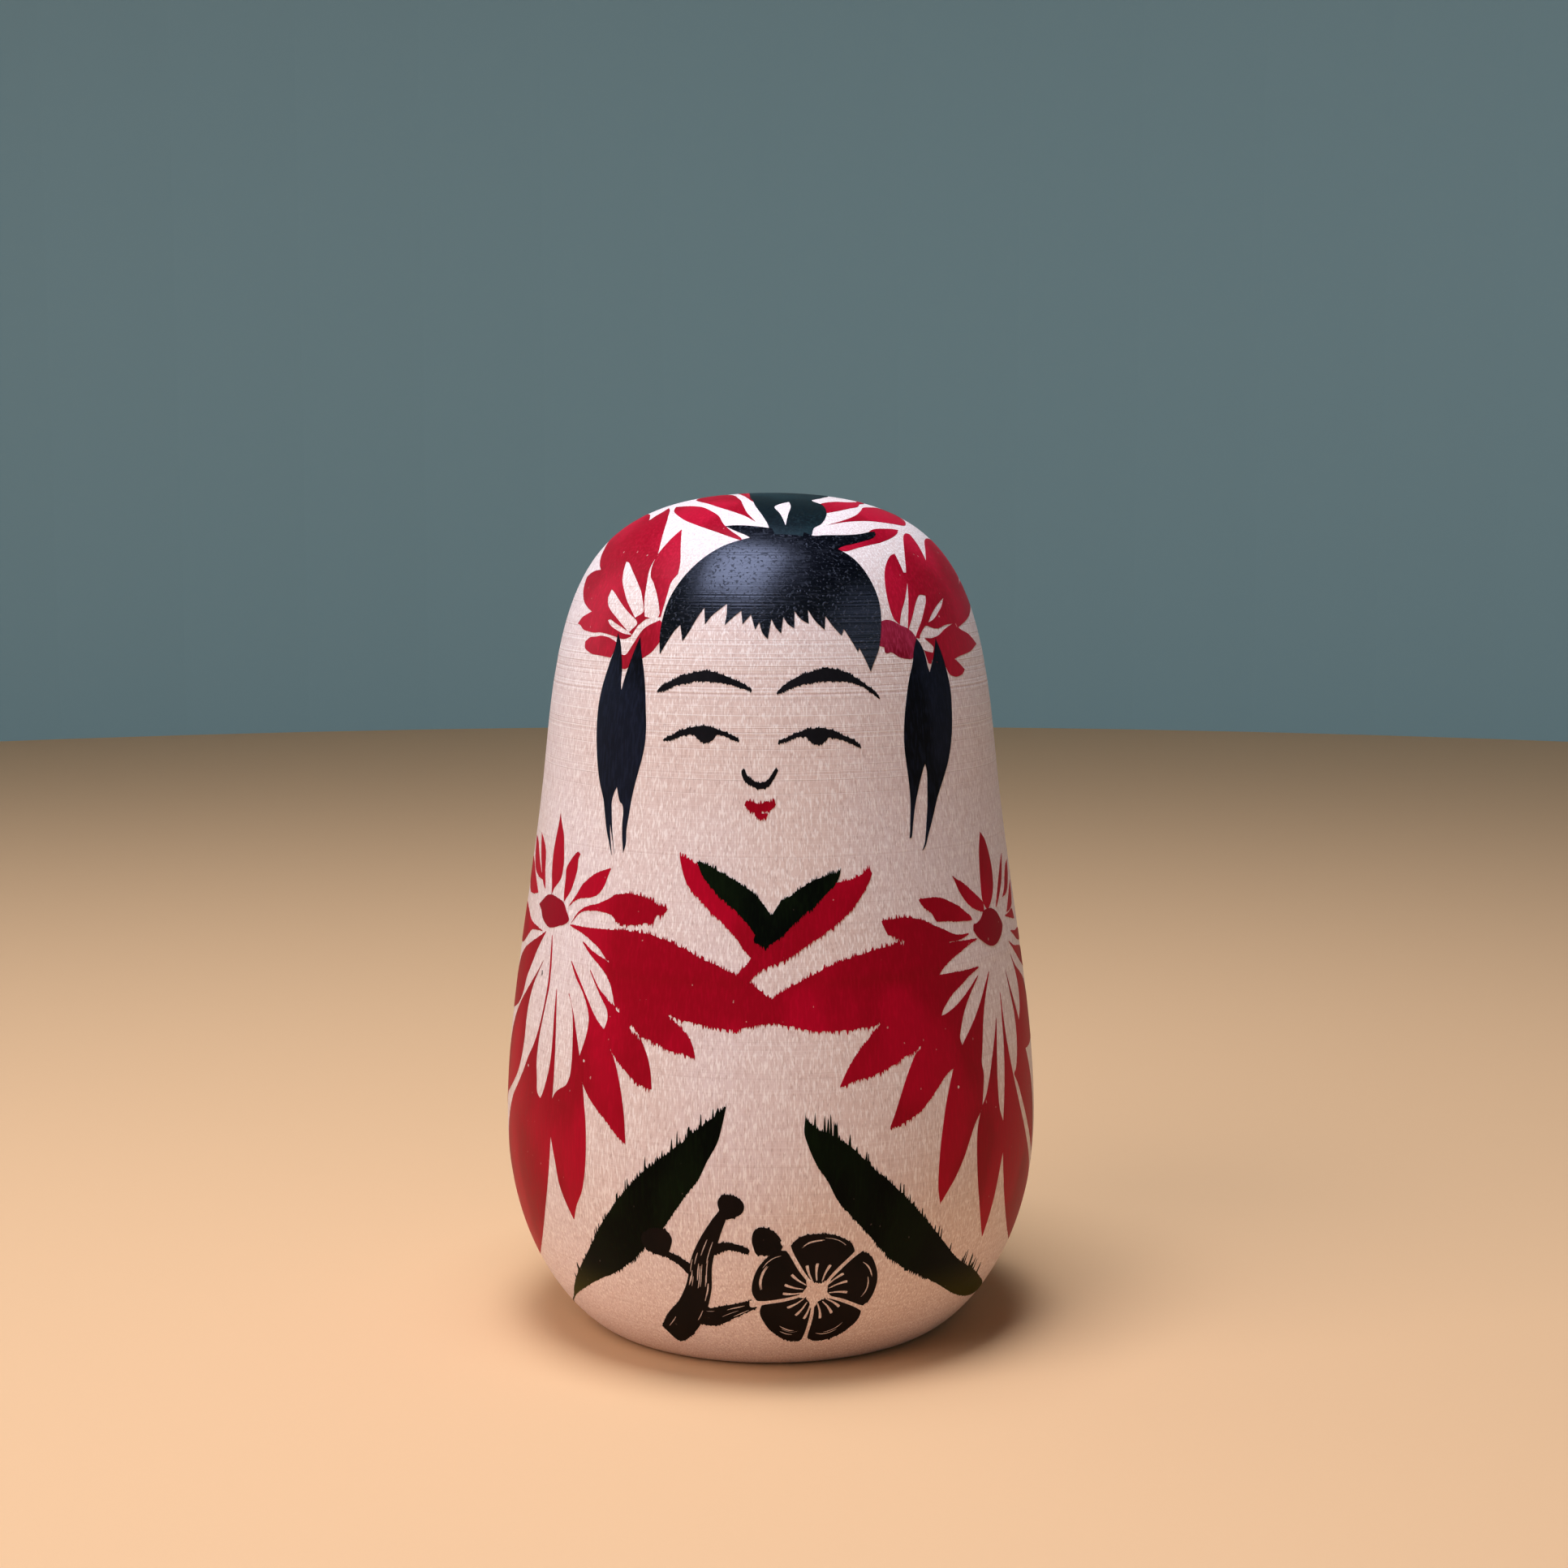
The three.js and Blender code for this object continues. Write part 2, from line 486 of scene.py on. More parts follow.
# The topknot's black paint is given a teal base colour: a painted teal sheen, standing in for the
# bluish surroundings reflected at grazing angles.
KNOT_BLACK_TEAL_SHEEN = dye("black_hair_painted_teal_sheen", tone(4, 14, 18), tone(20, 40, 44), 0.5, 0.36, 0.05, 0.5)
LOCK_BLACK = dye("sidelock_black", tone(1, 2, 8), tone(22, 26, 42), 0.7, 0.46, 0.0, 0.12)
SUMI = dye("brushed_black_ink", tone(7, 2, 2), tone(20, 9, 8), 0.4, 0.5, 0.08, 0.1)
SPECK_GREY = dye("grey_fleck", tone(112, 100, 98), tone(150, 132, 126), 0.8)
BROW_BLACK = dye("fine_black_ink", tone(4, 3, 5), tone(20, 18, 22), 0.3, 0.5, 0.0, 0.15)


# ---- the turned pieces
RING_STEP = 0.32
BODY_SEGMENTS = 192


def body_skin():
    """The whole outside of the doll, and the mouth and bore that the CAD piece has in its foot."""
    top = skin_run[-1]
    runs = [*np.arange(0, top - 1, RING_STEP), top - 0.5, top]
    inside = sorted(bore_rings, key=lambda ring: (-ring[1], ring[0]))
    outside = [[np.interp(run, skin_run, values) for values in skin_line.T] for run in runs]
    skin = lathe("body_skin", inside + outside, BODY_SEGMENTS, WOOD)
    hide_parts("turned_body")


# ---- the painting: hair
HAIR_OUTER_EDGE = [
    (-16.7, -30.15), (-16.1, -28.3), (-15, -26.4), (-13.3, -24.5), (-10, -22.3), (-6, -20.5),
    (-3, -19.8), (0, -19.3), (4, -19.2), (8, -19.9), (10.5, -20.6), (13, -22.3), (15, -24.6),
    (16, -27.2), (16.4, -29.8), (16.1, -31.6),
]
FRINGE_FROM_THE_RIGHT = [
    [(15.95, -32.7), (14.8, -31.9)],
    [(13.35, -30.9)],
    [(13.3, -31.45), (12, -30.6)],
    [(10.6, -29.7)],
    [(10.4, -30.55), (9, -29.9)],
    [(7.7, -29.0)],
    [(7.85, -30.6), (6.4, -29.9)],
    [(5.2, -28.8)],
    [(5.5, -30.4), (4.3, -30)],
    [(3.4, -29.2)],
    [(3.5, -31.2), (2.6, -30.8)],
    [(1.9, -30.0)],
    [(1.65, -31.9), (0.9, -31.3)],
    [(0.25, -30.3)],
    [(-0.25, -32.6), (-1, -31.9)],
    [(-1.45, -30.65)],
    [(-2.05, -31.45)],
    [(-2.55, -29.7)],
    [(-3.8, -30.7)],
    [(-3.85, -29.1)],
    [(-6.3, -30.35), (-5.9, -29.2)],
    [(-5.7, -27.95), (-6.5, -28.3), (-8, -28.9)],
    [(-9.1, -29.6)],
    [(-8.85, -27.65), (-10.2, -28.6), (-11.5, -29.6)],
    [(-12.8, -30.35)],
    [(-12.65, -28.4), (-13.5, -28.6), (-15, -29.3)],
]
TOPKNOT = [
    [(0.1, -19.6), (-0.2, -17.5), (-0.8, -15.5), (-1.4, -13.5), (-1.75, -12), (-2, -10),
     (-2.3, -8.5), (-2.4, -6), (-2.5, -3), (-2.5, 0), (-2.1, 3), (-1.2, 5.6), (0.2, 7.4), (1.9, 8),
     (3.6, 7.4), (5.1, 5.6), (6.2, 3), (6.7, 0), (6.8, -3), (6.3, -5), (5.8, -6.6)],
    [(4.8, -8.5)],
    [(5, -9.3), (6.1, -10.5), (6.6, -13.5), (6.0, -16.2), (5.2, -17.3), (4.8, -19), (2.4, -20.2)],
]
TOPKNOT_PARTING = [
    [(2.2, -10.4), (0.9, -11.8), (0.5, -12.8), (1.1, -14.6), (1.5, -16)],
    [(1.85, -17.5), (2.1, -15), (2.4, -12.5)],
]
WISP_LEFT = [
    [(0.3, -18.2), (-2, -17.6), (-4, -17.1)],
    [(-5.2, -16.95), (-4, -18.2), (-3, -19)],
    [(-2.0, -19.9), (0.5, -19.8)],
]
WISP_RIGHT = [
    [(4, -18.4), (5.1, -18.8), (6.5, -18.3), (9, -17.2), (10.7, -16), (12, -14.6)],
    [(12.5, -14.1), (12.7, -14.5), (12.4, -15.6), (11.3, -17), (10, -18.3), (8.8, -19.3)],
    [(8, -20.3), (6, -20), (4, -19.8)],
]
SIDELOCK_LEFT = [
    [(-23, 84.2), (-23.1, 82.5), (-23.7, 80.8), (-24.5, 78.3), (-24.9, 76), (-24.9, 74),
     (-24.6, 71.5), (-24.1, 69.2), (-23.4, 67.2), (-22.6, 65.6), (-22.1, 63.9), (-21.6, 62.2),
     (-21, 60.8)],
    [(-20.4, 59.4), (-20.7, 60.7), (-21, 62)],
    [(-21.1, 63)],
    [(-20, 59.6), (-20.5, 61.5), (-20.8, 63), (-21, 64.3), (-21.1, 65.4), (-20.8, 66.4)],
    [(-20.4, 67.1), (-20.1, 66.2), (-19.7, 65.4), (-19.35, 65.2), (-19.1, 64.5), (-19.1, 63),
     (-18.95, 61.5), (-18.75, 60.4)],
    [(-18.65, 59.8), (-18.35, 60.8), (-18.4, 62.5), (-18.2, 64), (-18, 65.5), (-17.7, 67),
     (-17.2, 68.8), (-16.7, 70.5), (-16.4, 72), (-16.35, 73.8), (-16.6, 76), (-16.9, 78),
     (-17.4, 80), (-18.1, 82)],
    [(-18.75, 83.9), (-19.3, 82.6), (-19.9, 81), (-20.4, 79.6)],
    [(-20.9, 77.8), (-21.1, 78.8), (-21.2, 80.3), (-21.7, 82), (-22.3, 83.3)],
]
SIDELOCK_RIGHT = [
    [(21.8, 83.6), (21, 82.4), (20.4, 80.8), (19.6, 79.3), (18.9, 77.5), (18.3, 75.3),
     (17.95, 73.2), (17.9, 71.3), (18.1, 69.3), (18.3, 67.3), (18.3, 65.3), (18.1, 63.5),
     (17.9, 62)],
    [(17.8, 61.5), (18.05, 61.5), (18.4, 62.8), (18.9, 64.8), (19.6, 66.7), (20.3, 68.3),
     (20.9, 69.4)],
    [(21.1, 69.6), (21.3, 68.8), (21.2, 67), (21, 65), (20.6, 63), (20.3, 61.6), (20, 60.6)],
    [(19.6, 60), (20.1, 60.4), (20.8, 61.8), (21.7, 63.5), (22.8, 65.7), (24.2, 67.8),
     (25.3, 69.5), (26.1, 71.2), (26.7, 73.2), (27.1, 75.5), (27.3, 77.6), (27.1, 79.3),
     (26.7, 81), (26.2, 82.4)],
    [(25.7, 83.5), (25, 82.2), (24.2, 80.9), (23.5, 79.9)],
    [(23.4, 79.7), (23.1, 80.6), (22.9, 81.9), (22.4, 83)],
]


def hair():
    paint("hair_cap", [[HAIR_OUTER_EDGE, *FRINGE_FROM_THE_RIGHT], WISP_LEFT, WISP_RIGHT],
          BLACK, over_crown, coats=3)
    paint("topknot", [TOPKNOT], KNOT_BLACK_TEAL_SHEEN, over_crown, coats=2,
          gaps=[TOPKNOT_PARTING])
    paint("sidelock_left", [SIDELOCK_LEFT], LOCK_BLACK, coats=2)
    paint("sidelock_right", [SIDELOCK_RIGHT], LOCK_BLACK, coats=2)


# ---- the painting: flowers in the hair
CROWN_PETALS = [
    [[(-11.2, -6.2), (-11.4, -8.3), (-10.9, -10.8), (-9.8, -13.5), (-8, -16), (-6, -18),
      (-4.4, -19.3)],
     [(-3.3, -20), (-3.4, -19.6), (-4.6, -18), (-5.4, -16.5), (-6, -14.2), (-7, -12), (-8, -10),
      (-9.3, -8.3), (-10.5, -7)]],
    [[(-1.7, -16.6), (-3, -15), (-4.5, -13.3), (-6, -11.3), (-7.2, -9), (-8.3, -6.5), (-8.8, -4),
      (-8.3, -1.6)],
     [(-6.5, 0.2), (-5, -2.4), (-4.3, -4.6), (-3.8, -7.5), (-3.4, -9.5), (-3.1, -12),
      (-2.6, -14.5)]],
    [[(-1.4, -11.8), (-2.2, -9.8), (-2.9, -7), (-3.5, -4), (-3.9, -1)],
     [(-3.5, 2), (-2.2, 0), (-1.4, -3), (-1, -8)]],
    [[(6.2, -13.5), (5.6, -10.8), (7.5, -7.5), (9, -6), (10.2, -3.4), (10.2, -0.8)],
     [(9.6, 1.2), (11, -1), (11.1, -3.4), (10.6, -5), (10.3, -7.5), (9.3, -9.5), (8, -11.5)]],
    [[(6.8, -16.1), (8.5, -14.2), (10, -11.7), (10.7, -9), (11, -7), (12, -4.8), (13, -2.4)],
     [(14.8, -0.4), (16.2, -2.6), (16.5, -5), (16.3, -7), (15.2, -8.6), (13.5, -10.3),
      (11.5, -12), (9, -14.2)]],
    [[(8.2, -20.1), (9.3, -18.5), (11, -16.5), (11.7, -15), (12.3, -13.7), (13.8, -12),
      (14.8, -10.9)],
     [(15.5, -10.2), (15.4, -11.5), (14.8, -13.3), (13.5, -15.6), (12, -17.3), (10.8, -18.5),
      (9.2, -19.9)]],
]
HEAD_FLOWER_LEFT = [
    [(-28.8, -12.9), (-28.4, -14), (-28.1, -15.6), (-27.3, -17.3), (-26.4, -18.8), (-25.4, -20),
     (-24.3, -21.5), (-23.2, -23), (-21.8, -24.7)],
    [(-20.6, -25.3)],
    [(-19, -24.9)],
    [(-17.5, -25)],
    [(-15.3, -26.1), (-14.2, -24.7), (-13.5, -23.7), (-12.8, -22.7)],
    [(-11.7, -22.1), (-11.2, -20.8), (-10.9, -18.7), (-10.7, -17)],
    [(-10.5, -15.1), (-11.5, -15.8), (-12.7, -16.7)],
    [(-13.9, -17.6), (-13.5, -16.5), (-13, -14.7), (-12.4, -12), (-12.1, -9.5), (-11.95, -7)],
    [(-12.1, -5.2), (-13, -6.6), (-14, -7.4)],
    [(-14.6, -7.9), (-14.5, -6), (-14.6, -4), (-15.4, -0.6)],
    [(-18, 2), (-20, -0.6), (-21.2, -5), (-21.9, -7), (-22.3, -9)],
    [(-22.3, -10.8), (-23, -9.5), (-23.9, -8.1)],
    [(-24.9, -6.9), (-25.6, -7.9), (-26.2, -9.5), (-26.4, -11.5), (-26.1, -13.8)],
    [(-25.6, -15.6), (-26.6, -14.6), (-27.6, -13.6)],
]
HEAD_FLOWER_LEFT_SMALL_PETAL = [
    [(-28.5, -17.7), (-28.9, -18.3), (-28.7, -19.2), (-28, -20.8), (-27, -22.2), (-26, -23.5)],
    [(-24.9, -24.8), (-23.2, -24.2), (-23.7, -23), (-24.4, -21.9), (-25.3, -20.7),
     (-26.3, -19.7), (-27.3, -18.5)],
]
HEAD_FLOWER_LEFT_GAPS = [
    [[(-23.4, -20.1), (-23.3, -21), (-22.6, -22.5), (-21.6, -24)],
     [(-20.3, -25.3), (-20.6, -24.7), (-21.6, -23), (-22.4, -21.6), (-23, -20.4)]],
    [[(-22.3, -17.2), (-22.6, -18), (-22.5, -19.3), (-22, -21), (-21.4, -22.8)],
     [(-20.7, -24.6), (-19, -24.6)],
     [(-19, -24.1), (-19.7, -22.6), (-20.2, -21.3), (-20.7, -19.5), (-21.1, -17.7)],
     [(-21.4, -16.7)]],
    [[(-18.3, -14.8), (-18.9, -15.8), (-19.5, -17.3), (-19.6, -19), (-19.6, -20.6),
      (-19.4, -22)],
     [(-19.1, -23.7), (-17.6, -23.9)],
     [(-17.4, -23.2), (-17.2, -21.3), (-17.4, -19.5), (-17.7, -17.3), (-18, -15.3)]],
    [[(-14.2, -17.9), (-15.3, -19), (-16.2, -20.8), (-17.2, -23)],
     [(-17.6, -24.6), (-15.9, -26)],
     [(-15.3, -25.6), (-15.1, -24), (-15.2, -21.3), (-15.4, -20.2), (-15, -19)]],
]
HEAD_FLOWER_RIGHT = [
    [(15.5, -16.1), (15, -17), (14.7, -18.5), (14.7, -20), (15.2, -21.8), (16.2, -23.6),
     (17.5, -24.9)],
    [(18.7, -25), (20.1, -24.7)],
    [(21.5, -24.7), (22.4, -24.2)],
    [(23.4, -24.8), (25.2, -24.6), (27, -23.6)],
    [(28.5, -22.6), (29.6, -22.5), (30.6, -21.7), (31.4, -20.6), (32.1, -19)],
    [(32.2, -17.9), (31.5, -18.4), (30.4, -19.1)],
    [(29.5, -19.8), (30.3, -18), (31.3, -15.8), (32.2, -13.2), (32.6, -11)],
    [(32.9, -9.3), (31.8, -10.6), (30.4, -12.3), (29, -14.2)],
    [(28.2, -15), (29, -12), (29.5, -9), (29.6, -6), (29.5, -2), (29.4, 1.4)],
    [(28.5, 4), (27.3, 2), (26.4, -1.5)],
    [(26.2, -6), (25.8, -2), (24.6, 0.6)],
    [(22.8, 2), (21, -0.6), (19.8, -4), (19.3, -7), (19.6, -10)],
    [(20, -12.4), (19.2, -11.4), (18.2, -10.2)],
    [(17.1, -9.1), (16.6, -9.6), (16.3, -11), (16.5, -13), (16.9, -15), (17.3, -16.6)],
    [(17.6, -17.7), (17.3, -18), (16.3, -17)],
]
HEAD_FLOWER_RIGHT_GAPS = [
    [[(18.1, -18.9), (18.4, -21.5), (18.4, -23.5)],
     [(18.7, -25.2), (20, -25)],
     [(20, -24.3), (19.4, -22.5), (18.9, -21)]],
    [[(21.2, -18.1), (20.3, -19), (20.1, -20.5), (20.2, -22.3)],
     [(20.2, -25), (21.5, -25)],
     [(21.7, -23.5), (21.8, -22), (21.7, -20), (21.5, -18.6)]],
    [[(24.1, -14.8), (23.5, -17), (23.1, -19)],
     [(22.9, -21.1), (23.6, -19.7), (24, -18), (24.2, -16.5)]],
    [[(27, -16.1), (25.8, -18.1), (24.8, -20), (23.9, -20.9), (22.7, -21.8)],
     [(22.4, -22.8), (22.3, -23.9)],
     [(22.6, -24), (23.4, -23.1), (24.3, -22.2), (25.3, -20.6), (26, -18.6)]],
    [[(22.5, -23.6), (23.8, -23.2), (25.2, -22.9)],
     [(25.3, -23.6), (24.4, -24.3), (23.5, -24.8)],
     [(22.1, -24.8)]],
]
RIBBON_LEFT = [
    [(-23.4, -25.3), (-22.3, -26.6), (-20.5, -26.4), (-18.3, -25.9)],
    [(-15.5, -26.4), (-15, -27.4)],
    [(-15.2, -28.4), (-16.9, -29), (-18, -29.2), (-19.5, -29), (-20.2, -28.9), (-21.5, -28),
     (-22.6, -28.25), (-23.5, -27.7), (-24, -26.8)],
]
RIBBON_RIGHT = [
    [(15.8, -26.4), (16.3, -25.9), (17.5, -25.3), (18.8, -25), (19.8, -24.6), (21, -24.4)],
    [(22, -24.6), (22.3, -25.8), (22.2, -27.2), (21.5, -27.8), (20, -28.6), (18.5, -28.9),
     (17.9, -29.4)],
    [(17.5, -29.5)],
    [(17.2, -29), (16.2, -29.2)],
]
RED_TOUCH = [
    [(23.9, -24.8), (25.3, -23.9)],
    [(25.7, -25), (25.2, -25.4), (24.4, -25.1)],
]


def hair_flowers():
    paint("crown_petals", CROWN_PETALS, HEAD_RED, over_crown)
    paint("head_flower_left", [HEAD_FLOWER_LEFT, HEAD_FLOWER_LEFT_SMALL_PETAL], HEAD_RED,
          over_crown, gaps=HEAD_FLOWER_LEFT_GAPS)
    paint("head_flower_right", [HEAD_FLOWER_RIGHT, RED_TOUCH], HEAD_RED, over_crown,
          gaps=HEAD_FLOWER_RIGHT_GAPS)
    paint("ribbon_left", [RIBBON_LEFT], HEAD_RED, over_crown)
    paint("ribbon_right", [RIBBON_RIGHT], PALE_RED, over_crown)


# ---- the painting: face
BROW_LEFT = [
    [(-15, 78), (-13.5, 78.9), (-12, 79.5), (-10.5, 79.9), (-9, 80.2), (-7.5, 80.15),
     (-6, 79.8), (-4.5, 79.3), (-3.2, 78.8)],
    [(-2.3, 78.3), (-3.4, 78.6), (-4.8, 78.95), (-6.3, 79.2), (-8, 79.3), (-9.5, 79.3),
     (-11, 79.1), (-12.3, 78.8), (-13.6, 78.3)],
]
BROW_RIGHT = [
    [(0.95, 78), (2.2, 78.9), (3.8, 79.7), (5.5, 80.2), (7.5, 80.5), (9.3, 80.3), (11, 79.6),
     (12.5, 78.8), (13.8, 78)],
    [(14.6, 77.2), (13.6, 77.9), (12, 78.8), (10.2, 79.25), (8.5, 79.3), (6.5, 79.3),
     (4.5, 79.1), (3, 78.7), (1.8, 78.3)],
]
EYE_LEFT = [
    [(-13.7, 72.65), (-12.5, 73.1), (-11.2, 73.7), (-10, 74), (-8.5, 74.2), (-7, 74),
     (-6, 73.7), (-5, 73.4), (-4.2, 73.1)],
    [(-3.8, 72.8), (-4.4, 72.9), (-5.2, 73.2), (-6.2, 73.5)],
    [(-6.7, 73.5), (-7, 73), (-7.5, 72.7), (-8.2, 72.6), (-9, 73)],
    [(-9.4, 73.45), (-10, 73.5), (-11.3, 73.2), (-12.6, 72.8)],
]
EYE_RIGHT = [
    [(1.1, 72.55), (2.2, 73), (3.6, 73.6), (5, 73.9), (6.5, 74), (7.6, 73.8), (9, 73.3),
     (10.2, 72.8), (11, 72.4)],
    [(11.6, 71.9), (10.7, 72.3), (9.5, 72.75), (8.3, 73.1)],
    [(7.4, 73.2), (6.9, 72.75), (6.1, 72.4), (5.2, 72.8)],
    [(4.5, 73.35), (3.2, 73.2), (2, 72.8)],
]
NOSE = brush([(-3.2, 69.5), (-2.95, 68.8), (-2.2, 68.2), (-1.2, 67.85), (-0.3, 68.1), (0.3, 68.7),
              (0.9, 69.6)], [0.3, 0.46, 0.42, 0.44, 0.36, 0.33, 0.25])
UPPER_LIP = [
    [(-3, 65.75), (-2.75, 66.15), (-2.3, 66), (-1.6, 65.9), (-1, 65.75), (-0.4, 65.9),
     (0.2, 65.95), (0.55, 66.05)],
    [(0.75, 65.85), (0.35, 65.5), (-0.1, 65.25), (-0.5, 65.1), (-1, 65.15), (-1.5, 65), (-2, 65.1),
     (-2.5, 65.3)],
]
LOWER_LIP = [
    [(-1.6, 65.2), (-1.75, 64.75), (-1.4, 64.45)],
    [(-1.05, 64.05), (-0.85, 64.35), (-0.4, 64.45)],
    [(-0.2, 64.75), (-0.5, 64.8), (-0.95, 64.75)],
    [(-1, 65.2)],
]


def face():
    for name, shape in (("brow_left", BROW_LEFT), ("brow_right", BROW_RIGHT),
                        ("eye_left", EYE_LEFT), ("eye_right", EYE_RIGHT), ("nose", NOSE)):
        paint(name, [shape], BROW_BLACK, teeth=0.13, swell=0.07)
    paint("mouth", [UPPER_LIP, LOWER_LIP], RED, teeth=0.22, swell=0.02)


# ---- the painting: kimono
COLLAR_RED = [
    [(-10.8, 60), (-10.6, 59.1), (-9.9, 57.3), (-8.6, 55.9), (-7, 54.3), (-5.2, 52.8),
     (-3.7, 51.2), (-2.8, 50)],
    [(-2.05, 49.1), (-2.5, 48.3), (-3.4, 47.4)],
    [(-3.7, 47)],
    [(-2.8, 46.6)],
    [(-2.2, 46.5), (-1.5, 47.4), (-0.4, 48.1), (0.6, 48.6), (2, 49.2), (3.5, 50), (5.5, 51.3),
     (7.5, 52.6), (9, 53.7), (10.3, 55), (11.4, 56.4), (12.1, 57.5)],
    [(12.3, 58), (11.9, 58.3)],
    [(11, 57.8), (9.6, 57.3), (8.2, 57.05), (7.3, 56.8), (4, 54.2), (1, 51.8)],
    [(-0.4, 51), (-1.8, 52.5), (-3.8, 54.8), (-6.8, 57.6), (-8.8, 59.15), (-10, 59.7)],
]
COLLAR_GREEN = [
    [(-8.6, 59.4), (-7, 58.9), (-5.2, 58), (-3.3, 57), (-1.8, 56), (-0.6, 54.8)],
    [(0.2, 53.6), (1.2, 55), (2.8, 56), (4.5, 57), (6, 57.7), (7.6, 58)],
    [(8.4, 58.5), (8.2, 57.8), (7.4, 56.8), (5.8, 55.3), (4, 53.9), (2.2, 52.3), (0.8, 51.1),
     (0.2, 50.7)],
    [(-0.4, 50.3), (-1.2, 50.6), (-1.75, 51)],
    [(-1.6, 51.6), (-2.2, 52.5), (-3.4, 53.8), (-5, 55.2), (-6.8, 56.8), (-7.9, 58)],
]
